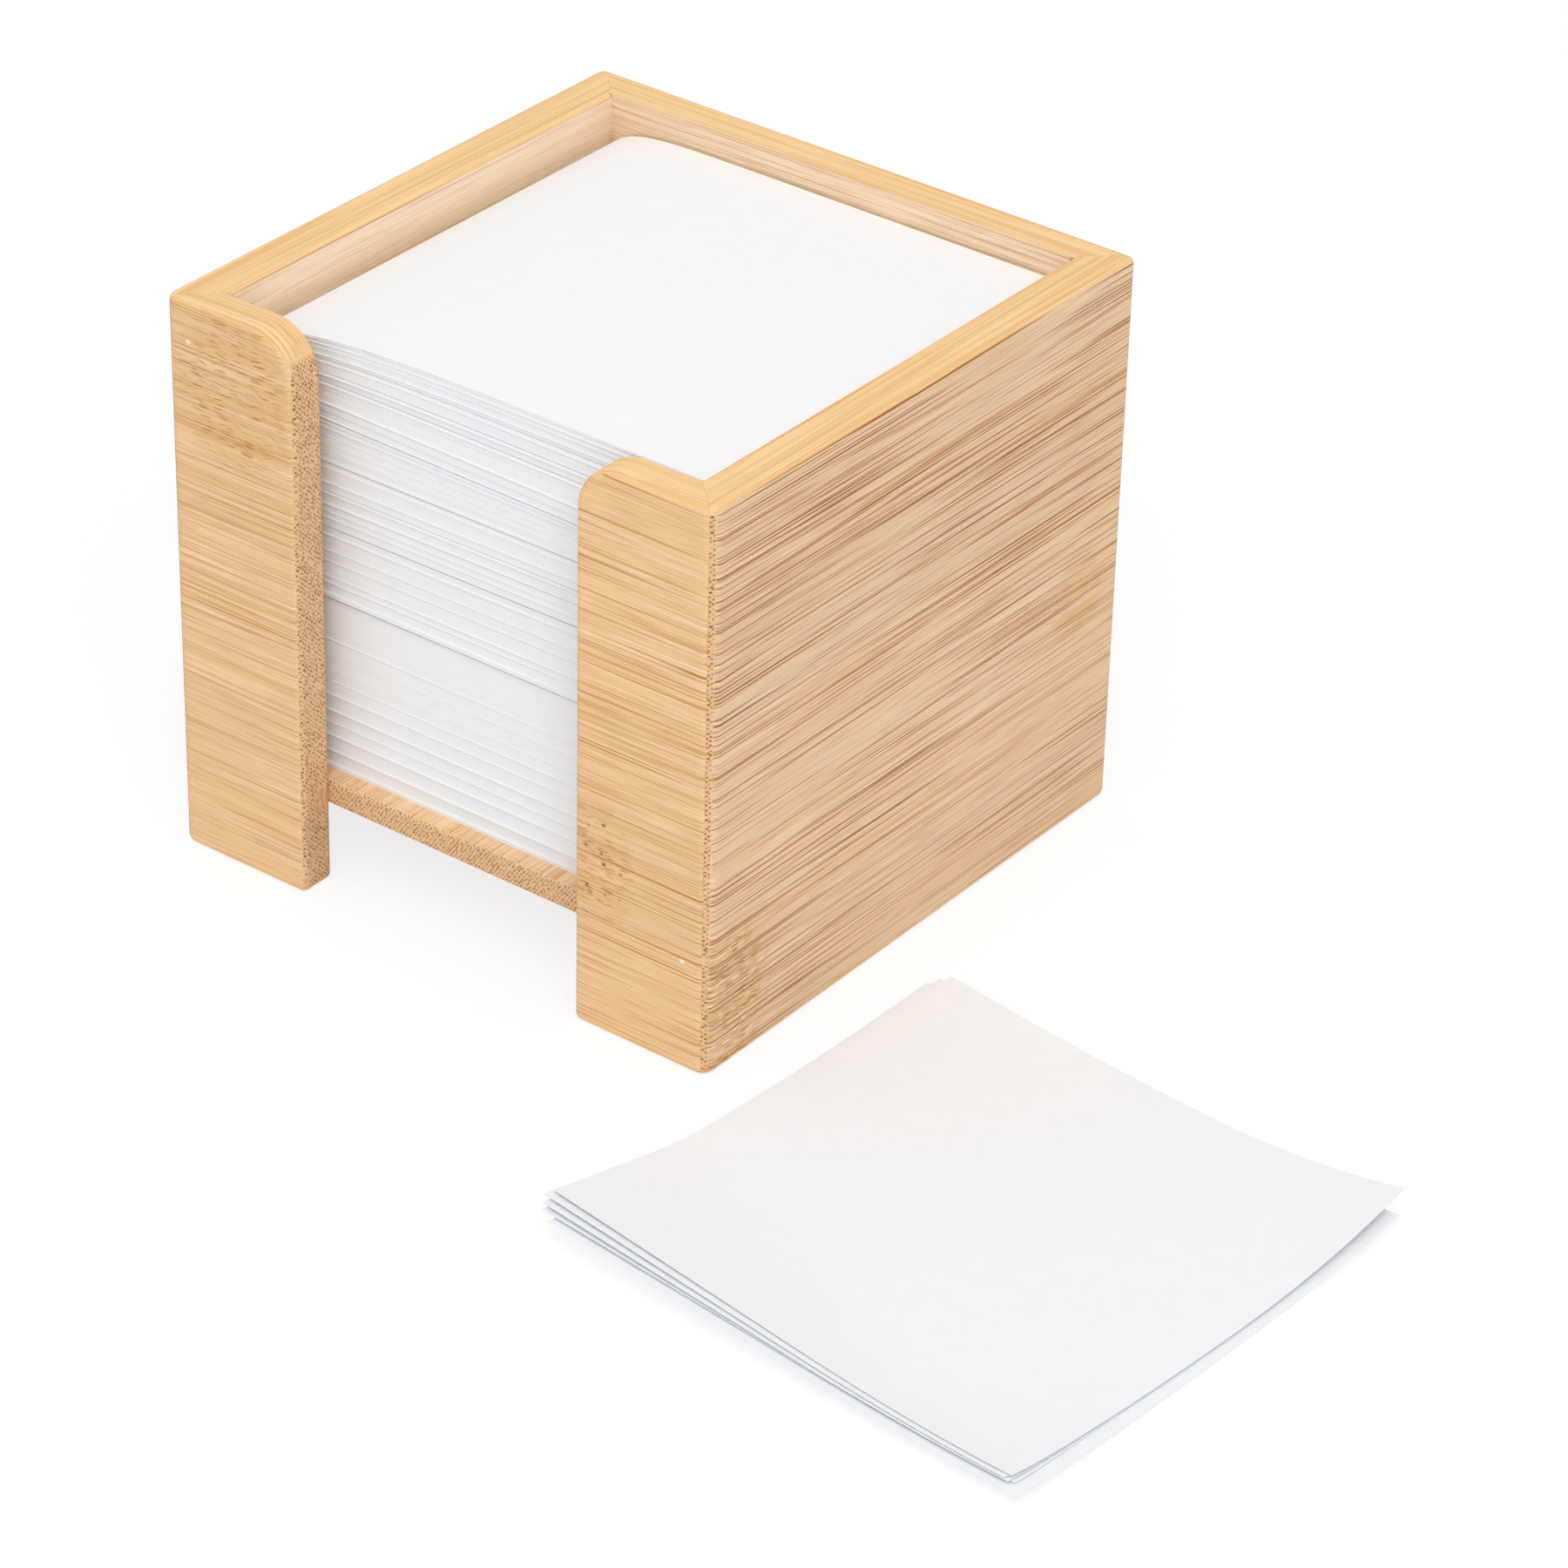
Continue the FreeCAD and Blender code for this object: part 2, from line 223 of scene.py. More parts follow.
def bamboo(name, looks, order, seed, paleness, lines, density, painted_inner_paleness, knuckles, calm=None,
           speck=None, end_rows=False):
    """Laminated bamboo. order is FRONT_OR_BACK, SIDE or LEVEL, and seed tells the boards apart.

    paleness is how far the face is the pale one, lines how dark its fibre bundles show, density
    how many there are and raw how much paler the faces inside the well are painted, as painted
    light in place of the light that the white paper bounces onto them. A knuckle is
    (along, across, half length, half width, dashes, pits, flecks), in millimetres and strengths.
    calm is a place where the bundles show less, as (along, across, half length, half width),
    speck is the place of a drop of dried glue, and end_rows sets the bundles of the cut end in
    rows.
    """
    made, tree = new_material(name)
    place = add_node(tree, "TexCoord")
    millimetres = add_node(tree, "VectorMath", {0: place.outputs["Object"], "Scale": 1 / MM},
                           operation="SCALE").outputs[0]
    axes = add_node(tree, "SeparateXYZ", {0: millimetres}).outputs
    along, across, depth = (axes[axis] for axis in order)
    facing = add_node(tree, "SeparateXYZ", {0: place.outputs["Normal"]}).outputs
    end_on, edge_on = (add_node(tree, "Math", {0: facing[axis]}, operation="ABSOLUTE").outputs[0]
                       for axis in order[:2])
    # the fibre bundles of a face stop where it rounds over to the next board
    shown = add_node(tree, "MapRange", {
        "Value": end_on, "From Min": 0.64, "From Max": 0.5, "To Max": lines}).outputs[0]
    if calm is not None:
        faded = add_node(tree, "Math", {0: patch(tree, along, across, calm), 1: -0.4, 2: 1.0},
                         operation="MULTIPLY_ADD").outputs[0]
        shown = add_node(tree, "Math", {0: shown, 1: faded}, operation="MULTIPLY").outputs[0]
    # on a rounded end that turns into the rim, the rim's look starts early
    end_on = add_node(tree, "Math", {0: edge_on, 1: -0.6, 2: end_on},
                      operation="MULTIPLY_ADD").outputs[0]

    # each strip of the laminate came from another culm, so its fibres and tone differ
    strip_place = add_node(tree, "Math", {0: across, 1: 1 / (looks.strip_width / MM), 2: 0.03},
                           operation="MULTIPLY_ADD").outputs[0]
    strip = add_node(tree, "Math", {0: strip_place}, operation="FLOOR").outputs[0]
    strip_id = add_node(tree, "Math", {0: strip, 1: seed}, operation="ADD").outputs[0]
    strip_random = add_node(tree, "TexWhiteNoise", {"W": strip_id}, noise_dimensions="1D")
    shifted = add_node(tree, "Math", {0: strip_random.outputs["Value"], 1: 700.0, 2: along},
                       operation="MULTIPLY_ADD").outputs[0]
    shifted = add_node(tree, "Math", {0: shifted, 1: 37.0 * seed}, operation="ADD").outputs[0]
    grain = add_node(tree, "CombineXYZ", {0: shifted, 1: across, 2: depth}).outputs[0]

    # noises: length, width and depth in millimetres, and how much finer detail they carry
    noises = {}
    for key, (run, width, thick, detail) in {
        "tone": (80, 3.6, 9.0, 1.0),
        "gather": (38, 5.0, 9.0, 0.0),
        "hair": (9.0, 0.2, 0.4, 1.0),
        "wander": (60, 12.0, 9.0, 0.0),
        "swirl": (2.6, 2.2, 9.0, 0.0),
        "orange": (30, 1.2, 3.0, 1.0),
        "rim": (60, 2.0, 0.7, 2.0),
        "joint": (3.0, 3.0, 3.0, 1.0),
    }.items():
        spot = add_node(tree, "Mapping", {
            "Vector": grain, "Scale": (1 / run, 1 / width, 1 / thick),
            "Location": (seed * 3.7, seed * 11.3, seed * 5.9)})
        noises[key] = add_node(tree, "TexNoise", {
            "Vector": spot.outputs[0], "Scale": 1.0, "Detail": detail}).outputs["Fac"]

    # the fibres wander by a few tenths of a millimetre, and swirl in the knuckles
    waved = add_node(tree, "Math", {0: noises["wander"], 1: 0.9, 2: across},
                     operation="MULTIPLY_ADD").outputs[0]
    swirled = add_node(tree, "Math", {0: noises["swirl"], 1: 0.9, 2: across},
                       operation="MULTIPLY_ADD").outputs[0]
    on_face = add_node(tree, "CombineXYZ", {0: shifted, 1: waved}).outputs[0]
    in_knuckle = add_node(tree, "CombineXYZ", {0: shifted, 1: swirled}).outputs[0]
    on_rim = add_node(tree, "CombineXYZ", {0: shifted, 1: depth}).outputs[0]
    on_end = add_node(tree, "CombineXYZ", {0: across, 1: depth}).outputs[0]

    # marks: run and pitch in millimetres, size of a mark in its cell and share of the cells;
    # fibre bundles are 0.1 to 0.35 mm wide and show for 20 to 60 mm before they dive under
    fine = marks(tree, on_face, 70.0, 0.38, 0.26, 0.4 + 0.35 * density)
    bold = marks(tree, on_face, 110.0, 0.62, 0.19, 0.15 + 0.35 * density, noises["gather"])
    light = marks(tree, on_face, 70.0, 0.4, 0.27, 0.7)
    band = marks(tree, on_face, 110.0, 2.6, 0.4, 0.4)
    rim_streak = marks(tree, on_rim, 60.0, 0.36, 0.3, 0.6)
    rim_light = marks(tree, on_rim, 50.0, 0.45, 0.26, 0.35)
    pitch = looks.dot_pitch / MM
    if end_rows:
        dot = marks(tree, on_end, 0.8 * pitch, 0.9 * pitch, 0.4, 0.98, scatter=0.45,
                    turn=math.radians(38), vary=0.35)
    else:
        dot = marks(tree, on_end, 0.84 * pitch, 0.84 * pitch, 0.43, 0.93, noises["gather"],
                    scatter=0.45, turn=math.radians(45), vary=0.4)

    # masks: where each starts to show and where it shows in full, and how strong it then is
    masks = {}
    for key, (source, low, high, strength) in {
        "tone": (noises["tone"], 0.36, 0.68, 0.55),
        "hair": (noises["hair"], 0.4, 0.78, 0.42),
        "orange": (noises["orange"], 0.34, 0.62, 1.0),
        "rim": (noises["rim"], 0.42, 0.7, 0.5),
        "end": (end_on, 0.58, 0.68, 1.0),
        "edge": (edge_on, 0.35, 0.8, 1.0),
    }.items():
        masks[key] = add_node(tree, "MapRange", {
            "Value": source, "From Min": low, "From Max": high, "To Max": strength},
            interpolation_type="SMOOTHSTEP").outputs[0]

    # knuckles: where the culm had its joints the fibres break up into short dashes and pits
    short = marks(tree, in_knuckle, 3.8, 0.38, 0.3, 0.75)
    pale = marks(tree, in_knuckle, 3.4, 0.7, 0.38, 0.65, turn=0.1)
    hole = marks(tree, on_face, 3.0, 2.2, 0.15, 0.5)
    together = None
    for spot in knuckles:
        inside = patch(tree, along, across, spot[:4])
        found = [inside]
        for pattern, strength in zip((short, hole, pale), spot[4:]):
            part = add_node(tree, "Math", {0: pattern, 1: inside}, operation="MULTIPLY").outputs[0]
            found.append(add_node(tree, "Math", {0: part, 1: strength},
                                  operation="MULTIPLY").outputs[0])
        together = found if together is None else [
            add_node(tree, "Math", {0: old, 1: new}, operation="MAXIMUM").outputs[0]
            for old, new in zip(together, found)]
    knuckle, dash, pit, fleck = together
    knuckle_tint = add_node(tree, "Math", {0: knuckle, 1: masks["orange"]},
                            operation="MULTIPLY").outputs[0]

    # distances from the middle of the holder
    from_x = add_node(tree, "Math", {0: axes[0]}, operation="ABSOLUTE").outputs[0]
    from_y = add_node(tree, "Math", {0: axes[1]}, operation="ABSOLUTE").outputs[0]
    outermost = add_node(tree, "Math", {0: from_x, 1: from_y}, operation="MAXIMUM").outputs[0]
    # painted light: how far a face lies inside the well, where it is painted paler in place of the
    # light bounced off the paper
    painted_inner_mask = add_node(tree, "MapRange", {
        "Value": outermost, "From Min": WELL_HALF + 0.14, "From Max": WELL_HALF + 0.04,
        "To Max": painted_inner_paleness}).outputs[0]

    shade = add_node(tree, "Mix", {0: paleness, 6: looks.face, 7: looks.face_pale},
                     data_type="RGBA").outputs[2]
    # painted light: inside the well the face turns to the paler painted colour
    shade = add_node(tree, "Mix", {0: painted_inner_mask, 6: shade, 7: looks.face_painted_bounce},
                     data_type="RGBA").outputs[2]
    fibre = add_node(tree, "Mix", {0: paleness, 6: looks.fibre_warm, 7: looks.fibre},
                     data_type="RGBA").outputs[2]
    fine = add_node(tree, "Math", {0: fine, 1: shown}, operation="MULTIPLY").outputs[0]
    bold = add_node(tree, "Math", {0: bold, 1: shown}, operation="MULTIPLY").outputs[0]
    # from the broad tones up to the finest marks, each with its strength and colour
    for factor, strength, mark_colour in (
        (masks["tone"], 0.55, looks.face_deep),
        (band, 0.45, looks.face_deep),
        (light, 0.85, looks.pale),
        (masks["hair"], 0.8, fibre),
        (knuckle_tint, 0.8, looks.face_deep),
        (fleck, 0.85, looks.pale),
        (fine, 1.15, fibre),
        (bold, 1.5, fibre),
        (dash, 0.95, fibre),
        (pit, 1.0, looks.end_dot),
    ):
        share = add_node(tree, "Math", {0: factor, 1: strength}, operation="MULTIPLY",
                         use_clamp=True).outputs[0]
        shade = add_node(tree, "Mix", {0: share, 6: shade, 7: mark_colour},
                         data_type="RGBA").outputs[2]
    # painted light: inside the well the marks fade further into the painted paler face, in place
    # of the light bounced off the paper
    painted_inner_fade = add_node(tree, "Math", {0: painted_inner_mask, 1: 0.4}, operation="MULTIPLY").outputs[0]
    shade = add_node(tree, "Mix", {0: painted_inner_fade, 6: shade, 7: looks.face_painted_bounce},
                     data_type="RGBA").outputs[2]

    rim = looks.rim
    for factor, mark_colour in ((masks["rim"], looks.rim_deep), (rim_streak, looks.rim_deep),
                                (rim_light, looks.pale)):
        rim = add_node(tree, "Mix", {0: factor, 6: rim, 7: mark_colour},
                       data_type="RGBA").outputs[2]
    cut = add_node(tree, "Mix", {0: dot, 6: looks.end, 7: looks.end_dot},
                   data_type="RGBA").outputs[2]
    shade = add_node(tree, "Mix", {0: masks["edge"], 6: shade, 7: rim},
                     data_type="RGBA").outputs[2]
    shade = add_node(tree, "Mix", {0: masks["end"], 6: shade, 7: cut},
                     data_type="RGBA").outputs[2]

    # tone of the whole strip
    strip_tone = add_node(tree, "MapRange", {
        "Value": strip_random.outputs["Value"], "To Min": 0.98, "To Max": 1.025}).outputs[0]
    shade = add_node(tree, "VectorMath", {0: shade, "Scale": strip_tone},
                     operation="SCALE").outputs[0]

    # a hairline of glue along the mitre at each corner; the front ones start 0.9 mm further out
    shift = add_node(tree, "MapRange", {
        "Value": axes[1], "From Min": -1.0, "From Max": 1.0, "To Min": 0.9, "To Max": 0.0})
    mitre = add_node(tree, "Math", {0: from_x, 1: from_y}, operation="SUBTRACT").outputs[0]
    mitre = add_node(tree, "Math", {0: mitre, 1: shift.outputs[0]}, operation="ADD").outputs[0]
    mitre = add_node(tree, "Math", {0: mitre}, operation="ABSOLUTE").outputs[0]
    mitre = add_node(tree, "MapRange", {
        "Value": mitre, "From Min": 0.2, "From Max": 0.04}).outputs[0]
    worn = add_node(tree, "MapRange", {
        "Value": noises["joint"], "From Min": 0.42, "From Max": 0.66, "To Max": 0.4}).outputs[0]
    mitre = add_node(tree, "Math", {0: mitre, 1: worn}, operation="MULTIPLY").outputs[0]
    shade = add_node(tree, "Mix", {0: mitre, 6: shade, 7: looks.fibre},
                     data_type="RGBA").outputs[2]

    if speck is not None:
        glue = patch(tree, along, across, (*speck, 0.5, 0.35))
        shade = add_node(tree, "Mix", {0: glue, 6: shade, 7: looks.glue},
                         data_type="RGBA").outputs[2]

    hollow = add_node(tree, "Math", {0: bold, 1: dash}, operation="ADD").outputs[0]
    hollow = add_node(tree, "Math", {0: hollow, 1: pit}, operation="ADD").outputs[0]
    dents = add_node(tree, "Math", {0: dot, 1: masks["end"]}, operation="MULTIPLY").outputs[0]
    hollow = add_node(tree, "Math", {0: hollow, 1: dents}, operation="ADD").outputs[0]
    hollow = add_node(tree, "Math", {0: hollow, 1: masks["hair"]}, operation="ADD").outputs[0]
    # the pores are about 0.03 mm deep under the coat
    bump = add_node(tree, "Bump", {"Strength": 0.6, "Distance": 0.03 * MM, "Height": hollow},
                    invert=True)
    skin = add_node(tree, "BsdfPrincipled", {
        "Base Color": shade, "Roughness": looks.gloss, "IOR": 1.45,
        "Specular IOR Level": 0.3, "Normal": bump.outputs[0]})
    add_node(tree, "OutputMaterial", {"Surface": skin.outputs[0]})
    return made


def wood_filler(looks):
    """Pale putty sanded flush: even, slightly chalky, with a few grains in it."""
    made, tree = new_material("Wood_filler_sanded")
    place = add_node(tree, "TexCoord")
    # grains of about half a millimetre, drawn out upwards by the sanding
    drawn = add_node(tree, "Mapping", {"Vector": place.outputs["Object"], "Scale": (1, 1, 0.4)})
    grains = add_node(tree, "TexNoise", {
        "Vector": drawn.outputs[0], "Scale": 1 / (0.4 * MM), "Detail": 3.0})
    factor = add_node(tree, "MapRange", {
        "Value": grains.outputs["Fac"], "From Min": 0.35, "From Max": 0.7, "To Max": 0.6})
    factor = factor.outputs[0]
    shade = add_node(tree, "Mix", {0: factor, 6: looks.end, 7: looks.end_dot},
                     data_type="RGBA").outputs[2]
    bump = add_node(tree, "Bump", {"Strength": 0.5, "Distance": 0.04 * MM, "Height": factor})
    skin = add_node(tree, "BsdfPrincipled", {
        "Base Color": shade, "Roughness": 0.7, "Normal": bump.outputs[0]})
    add_node(tree, "OutputMaterial", {"Surface": skin.outputs[0]})
    return made


def writing_paper(name, white):
    """Uncoated white paper: matt, with a faint cloudiness of its fibres."""
    made, tree = new_material(name)
    place = add_node(tree, "TexCoord")
    # fibre clouds of about 3 mm and a tooth of 0.25 mm
    cloud = add_node(tree, "TexNoise", {
        "Vector": place.outputs["Object"], "Scale": 1 / (3 * MM), "Detail": 3.0})
    tooth = add_node(tree, "TexNoise", {
        "Vector": place.outputs["Object"], "Scale": 1 / (0.25 * MM), "Detail": 2.0})
    tone = add_node(tree, "MapRange", {
        "Value": cloud.outputs["Fac"], "From Min": 0.3, "From Max": 0.7,
        "To Min": 0.985, "To Max": 1.0}).outputs[0]
    shade = add_node(tree, "VectorMath", {0: white[:3], "Scale": tone},
                     operation="SCALE").outputs[0]
    bump = add_node(tree, "Bump", {
        "Strength": 0.25, "Distance": 0.02 * MM, "Height": tooth.outputs["Fac"]})
    skin = add_node(tree, "BsdfPrincipled", {
        "Base Color": shade, "Roughness": 0.85, "Specular IOR Level": 0.2,
        "Normal": bump.outputs[0]})
    add_node(tree, "OutputMaterial", {"Surface": skin.outputs[0]})
    return made


# ---- shapes -----------------------------------------------------------------------------
def finish_mesh(bm, name, material, body, smooth=False):
    """Makes an object of a bmesh in millimetres, and puts it on its body and slot."""
    bmesh.ops.scale(bm, vec=(MM, MM, MM), verts=bm.verts)
    bmesh.ops.recalc_face_normals(bm, faces=bm.faces)
    for face in bm.faces:
        face.smooth = smooth
    for edge in bm.edges:
        edge.smooth = edge.calc_face_angle(0.0) < CREASE
    mesh = bpy.data.meshes.new(name)
    bm.to_mesh(mesh)
    bm.free()
    mesh.materials.append(material)
    made = bpy.data.objects.new(name, mesh)
    bpy.context.scene.collection.objects.link(made)
    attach(made, body)
    return made


def add_sheet(bm, columns, rows):
    """A unit sheet from 0 to 1 in x and y with its two faces at z 0 and 1; returns its points."""
    grid = bmesh.ops.create_grid(bm, x_segments=columns, y_segments=rows, size=0.5)["verts"]
    bmesh.ops.translate(bm, verts=grid, vec=(0.5, 0.5, 0.0))
    faces = list(dict.fromkeys(face for v in grid for face in v.link_faces))
    raised = bmesh.ops.extrude_face_region(bm, geom=faces, use_keep_orig=True)["geom"]
    raised = [g for g in raised if isinstance(g, bmesh.types.BMVert)]
    bmesh.ops.translate(bm, verts=raised, vec=(0.0, 0.0, 1.0))
    return grid + raised


def stack_levels():
    """The surfaces between the packs in the well, as heights over (x, y) in millimetres."""
    block, first, second, third = (box_mm(n)[1].z for n in (
        "paper_block", "sheet_pack_1", "sheet_pack_2", "sheet_pack_3"))
    floor = box_mm("paper_block")[0].z
    low, high = box_mm("sheet_pack_4")
    left, front, depth = low.x, low.y, high.y - low.y

    left_edge = 88.3            # height of the uppermost pack where it leans on the left wall

    def top(x, y):
        # the sheets bow up from the left edge, more and more slowly towards the front
        back = (y - front) / depth
        bow, run = 4.0 - 1.7 * back, 12.0 - 7.5 * back
        return left_edge + bow * (1 - math.exp(-(x - left) / run))

    return [
        lambda x, y: floor,
        lambda x, y: block,
        lambda x, y: first + 0.1 + 0.0105 * x,
        lambda x, y: second + 0.15 + 0.0095 * x,
        lambda x, y: third - 0.018 * x,
        top,
    ]


# how the packs look from the front, from the base up: how many of the lowest sheets stand out
# and how far; heights of single sheets that stand out and how far; heights of slits
PACKS = {
    "paper_block": ((6, 0.5), ((20.5, 0.42), (23.3, 0.38), (25.4, 0.2), (27.7, 0.34),
                               (30.5, 0.26), (32.8, 0.2), (34.9, 0.1), (37.7, 0.1),
                               (40.1, 0.14)), (47.25, 47.35, 47.45)),
    "sheet_pack_1": ((7, 0.55), ((50.1, 0.28), (51.2, 0.28), (53.7, 0.14), (55.7, 0.26),
                                 (58.3, 0.34)), ()),
    "sheet_pack_2": ((4, 0.1), ((61.1, 0.24), (62.2, 0.2), (63.5, 0.28), (65.3, 0.34),
                                (67.1, 0.28), (69.7, 0.2)), (59.35, 59.45, 65.5)),
    "sheet_pack_3": ((8, 0.15), ((72.6, 0.1), (73.8, 0.12), (75.0, 0.1), (76.5, 0.28),
                                (77.4, 0.34), (78.1, 0.3)), (70.35, 70.45, 70.55, 77.7)),
    "sheet_pack_4": ((7, 0.15), ((80.6, 0.34), (83.3, 0.28), (84.7, 0.28), (86.6, 0.2),
                                (87.7, 0.2), (88.6, 0.16), (89.3, 0.2), (90.3, 0.16)),
                     (78.65, 78.75, 78.85, 83.6, 85.0, 87.0)),
}


def build_pack(name, lower, upper, count, scatter, dice, material, loose):
    """One pack of single sheets between two surfaces, each sheet a little off its neighbours.

    The lower sheets of a loose pack have slid against the left wall, and all of it is bowed.
    """
    gap_left = -35.0                                    # where the heights in PACKS were taken
    most_right, most_left = 0.2, -0.4                   # the play of a sheet to the sides
    slid_share, slid_by = 0.6, 1.8
    paper_share = 0.97                                  # the rest is air between the sheets
    low, high = box_mm(name)
    low_x, low_y = low.x, box_mm("sheet_pack_4")[0].y
    side_x, side_y = high.x - low.x, high.y - low.y
    (foot_count, foot_out), singles, slits = PACKS[name]
    foot, head = lower(gap_left, low_y), upper(gap_left, low_y)

    def sheet_at(height):
        return min(max(int((height - foot) / (head - foot) * count), 0), count - 1)

    out_by = {sheet_at(height): out for height, out in singles}
    parted = {sheet_at(height) for height in slits}
    bm = bmesh.new()
    group_left = 0
    forward = aside = turn = 0.0
    for i in range(count):
        if group_left == 0:
            group_left = dice.randint(6, 20)
            forward, aside = dice.gauss(0, scatter), dice.gauss(0, 2 * scatter)
            turn = dice.gauss(0, 0.0004)
        group_left -= 1
        if i in parted:
            continue                                    # one sheet's room left open
        out, sheet_turn = forward + dice.gauss(0, scatter * 0.3), turn
        if i < foot_count:
            out += foot_out
        if i in out_by:
            out, sheet_turn = out_by[i], dice.gauss(0, 0.0014)
        side = max(min(aside + dice.gauss(0, scatter), most_right), most_left)
        if loose and i < slid_share * count:
            side -= slid_by
        for v in add_sheet(bm, 9 if loose else 1, 2 if loose else 1):
            u, w, face = v.co
            x = low_x + side_x * (u * u if loose else u)
            y = low_y + side_y * w
            share = (i + paper_share * face) / count
            z = lower(x, y) * (1 - share) + upper(x, y) * share
            v.co = (x + side - sheet_turn * (y - low_y - side_y / 2),
                    y - out + sheet_turn * (x - low_x - side_x / 2), z)
    made = finish_mesh(bm, "Sheets_" + name, material, name)
    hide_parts(name)
    return made


# ---- operators --------------------------------------------------------------------------
class MEMO_OT_bamboo_boards(bpy.types.Operator):
    """Give the walls and the base board their laminated bamboo"""

    bl_idname = "memo.bamboo_boards"
    bl_label = "Bamboo boards"

    def execute(self, context):
        looks = context.scene.memo_bamboo
        # sanded laminated bamboo under a thin satin coat: fine brown fibres on a honey ground.
        # the columns are the node and what bamboo() takes after looks
        # the raw column is painted light: how much paler the faces inside the well are painted, in
        # place of the light bounced off the paper
        for node, order, seed, paleness, lines, density, painted_inner_paleness, knuckles, calm, speck in (
            ("front_right_post", FRONT_OR_BACK, 3.0, 0.0, 0.65, 1.15, 0.0,
             [(30.0, 29.0, 8.0, 11.0, 0.9, 1.0, 0.2)], None, (46.9, 18.8)),
            ("front_left_post", FRONT_OR_BACK, 8.0, 0.1, 0.42, 0.9, 0.0,
             [(-38.0, 83.0, 12.0, 14.0, 0.85, 0.0, 0.1)], None, (-46.8, 88.5)),
            ("right_side", SIDE, 1.0, 0.9, 1.1, 1.35, 0.8,
             [(-45.5, 11.0, 9.0, 13.0, 1.0, 0.3, 1.0),
              (40.0, 41.5, 7.5, 8.0, 0.2, 0.0, 0.1)], (34.0, 12.0, 62.0, 27.0), None),
            ("left_side", SIDE, 5.0, 0.9, 0.5, 0.5, 1.0,
             [(12.0, 28.5, 8.0, 12.0, 0.8, 0.3, 0.5)], None, None),
            ("back_board", FRONT_OR_BACK, 6.0, 0.8, 0.5, 0.6, 0.5,
             [(-20.0, 67.5, 8.0, 11.0, 0.8, 0.6, 0.4),
              (31.0, 15.0, 8.0, 12.0, 1.0, 0.0, 0.6)], None, None),
            ("base_board", LEVEL, 7.0, 0.2, 0.5, 0.6, 0.25,
             [(5.0, -20.0, 7.0, 12.0, 0.6, 0.3, 0.2)], None, None),
        ):
            material = bamboo("Laminated_bamboo_" + node, looks, order, seed, paleness, lines,
                              density, painted_inner_paleness, knuckles, calm, speck,
                              end_rows=node == "base_board")
            nodes[node].material_slots[0].material = material
        return {"FINISHED"}


class MEMO_OT_groove_fillers(bpy.types.Operator):
    """Give the filled groove ends their putty"""

    bl_idname = "memo.groove_fillers"
    bl_label = "Groove fillers"

    def execute(self, context):
        putty = wood_filler(context.scene.memo_bamboo)
        for node in ("groove_filler_left", "groove_filler_right"):
            nodes[node].material_slots[0].material = putty
        return {"FINISHED"}


class MEMO_OT_stack(bpy.types.Operator):
    """Lay the sheets of the block and the packs in the well"""

    bl_idname = "memo.stack"
    bl_label = "Paper in the well"

    def execute(self, context):
        looks = context.scene.memo_paper
        # the stack's white is painted cooler against the warm light the bamboo bounces onto it
        paper = writing_paper("Writing_paper_stacked", looks.edge_white_against_bounce)
        levels = stack_levels()
        dice = random.Random(41)
        scatter = looks.scatter / MM
        bowed, bowed_thickness = "sheet_pack_4", 11.5   # its box is taller, as it holds the bow
        pressed, pressed_scatter = "paper_block", 0.45  # its sheets lie more evenly
        for i, name in enumerate(PACKS):
            low, high = box_mm(name)
            thickness = bowed_thickness if name == bowed else high.z - low.z
            build_pack(name, levels[i], levels[i + 1],
                       round(thickness / (looks.sheet_thickness / MM)),
                       scatter * (pressed_scatter if name == pressed else 1.0),
                       dice, paper, loose=name == bowed)
        return {"FINISHED"}


class MEMO_OT_top_sheet(bpy.types.Operator):
    """Lay the sheet on top of the stack"""

    bl_idname = "memo.top_sheet"
    bl_label = "Top sheet"

    def execute(self, context):
        looks = context.scene.memo_paper
        low, high = box_mm("top_sheet")
        top = stack_levels()[-1]
        bm = bmesh.new()
        thickness = looks.sheet_thickness / MM
        ripple, ripple_reach = 0.04, 4.0                # a faint one along the front edge
        for v in add_sheet(bm, 36, 36):
            u, w, face = v.co
            x = low.x + (high.x - low.x) * u ** 1.5
            y = low.y + (high.y - low.y) * w
            lift = ripple * math.exp(-((y - low.y) / ripple_reach) ** 2) * math.sin(math.pi * u)
            v.co = (x, y, top(x, y) + lift + thickness * (0.1 + face))
        made = finish_mesh(bm, "Sheet_on_top", writing_paper("Writing_paper_top", looks.white),
                           "top_sheet", smooth=True)
        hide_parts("top_sheet")
        return {"FINISHED"}


